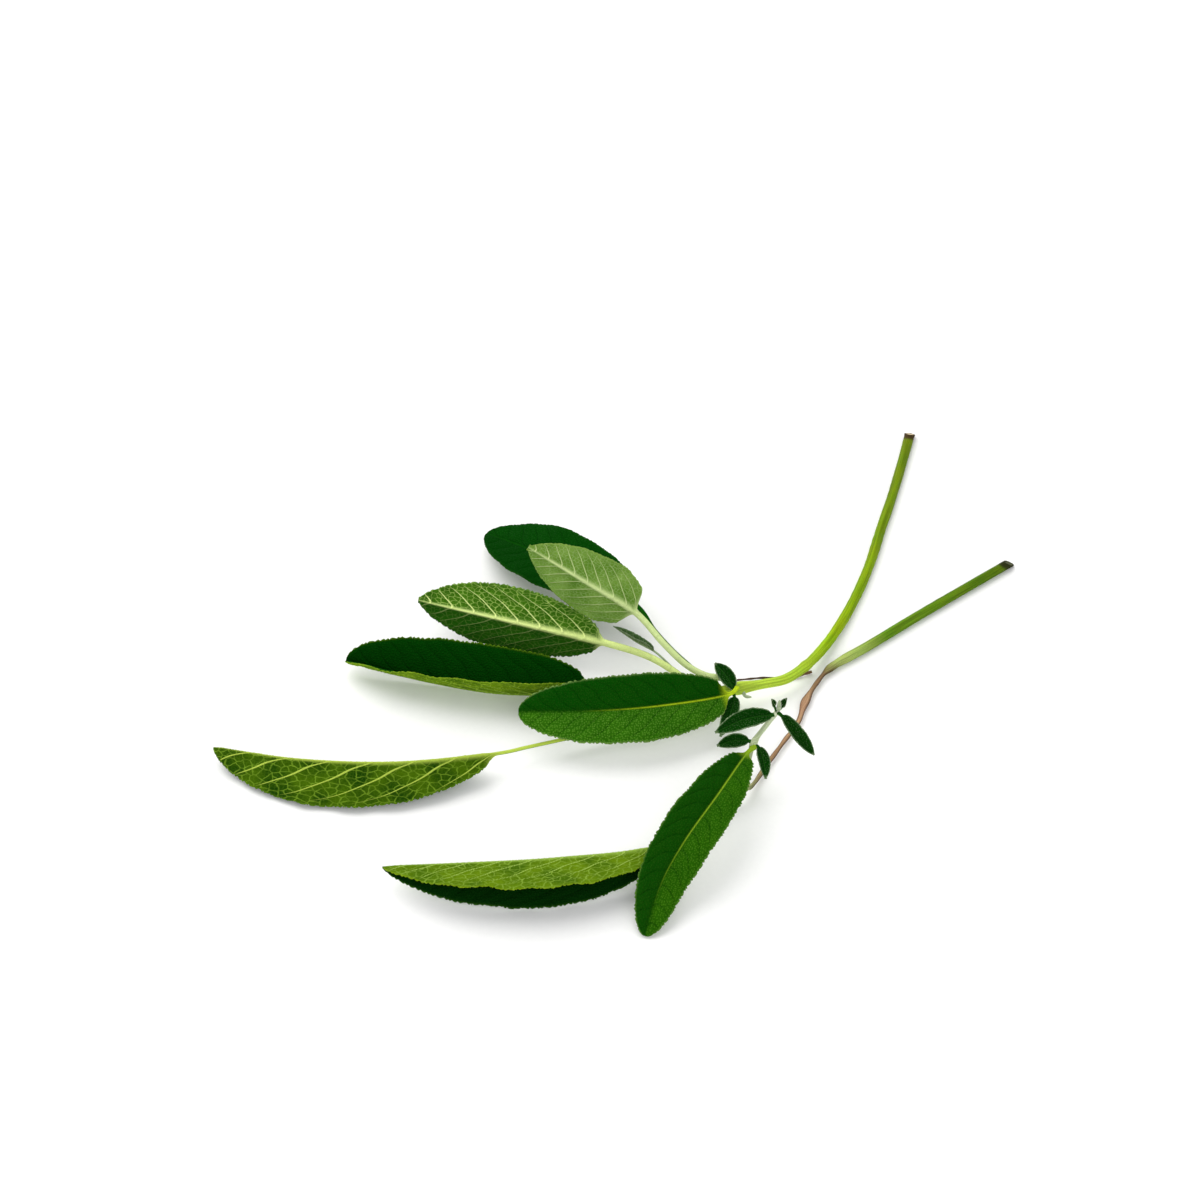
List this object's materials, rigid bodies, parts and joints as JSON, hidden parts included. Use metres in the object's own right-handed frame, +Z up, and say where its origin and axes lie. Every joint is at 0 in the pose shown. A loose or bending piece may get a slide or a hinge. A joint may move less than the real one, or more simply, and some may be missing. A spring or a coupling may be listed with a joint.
{
  "type": "sage sprig",
  "caption": "Cut garden sage sprig lying on a table: a forked stem with long petioled leaves, some folded, and a young upturned side shoot",
  "frame": {"origin": "on the table under the middle of the sprig's bounding box", "axes": "+X to the right along the sprig's longest extent, from the leaf tips towards the cut stems; +Y away from the viewer; +Z up from the table"},
  "size_m": [0.1723, 0.1498, 0.0302],
  "materials": {
    "leaf_upper": "matt, finely pebbled deep green upper side with a pale green midrib",
    "leaf_underside": "matt, soft grey-green underside with a raised net of paler veins",
    "young_leaf": "matt, downy young leaf with a pale fuzzy rim",
    "stem": "satin yellow-green stem, faintly ribbed, brown at the cut",
    "side_stem": "satin mid-green stem, withered brown strap beyond the fork, pale downy shoot",
    "withered": "dry brown stalk",
    "bud": "pale green downy bud"
  },
  "bodies": {
    "root": {"main_stem": "stem", "side_stem": "side_stem", "withered_stalk": "withered", "back_leaf": "leaf_upper", "pale_leaf": "leaf_underside", "veined_leaf": "leaf_underside", "cupped_leaf": "leaf_upper", "front_leaf": "leaf_upper", "long_leaf": "leaf_underside", "shoot_leaf": "leaf_upper", "folded_leaf": "leaf_upper", "narrow_leaf": "young_leaf", "upper_axil_leaf": "young_leaf", "lower_axil_leaf": "young_leaf", "lower_pair_left": "young_leaf", "lower_pair_right": "young_leaf", "upper_pair_left": "young_leaf", "upper_pair_right": "young_leaf", "tip_leaf_left": "young_leaf", "tip_leaf_right": "young_leaf", "axil_bud": "bud", "shoot_tip_bud": "bud", "stem_tip_bud": "bud"}
  },
  "joints": []
}
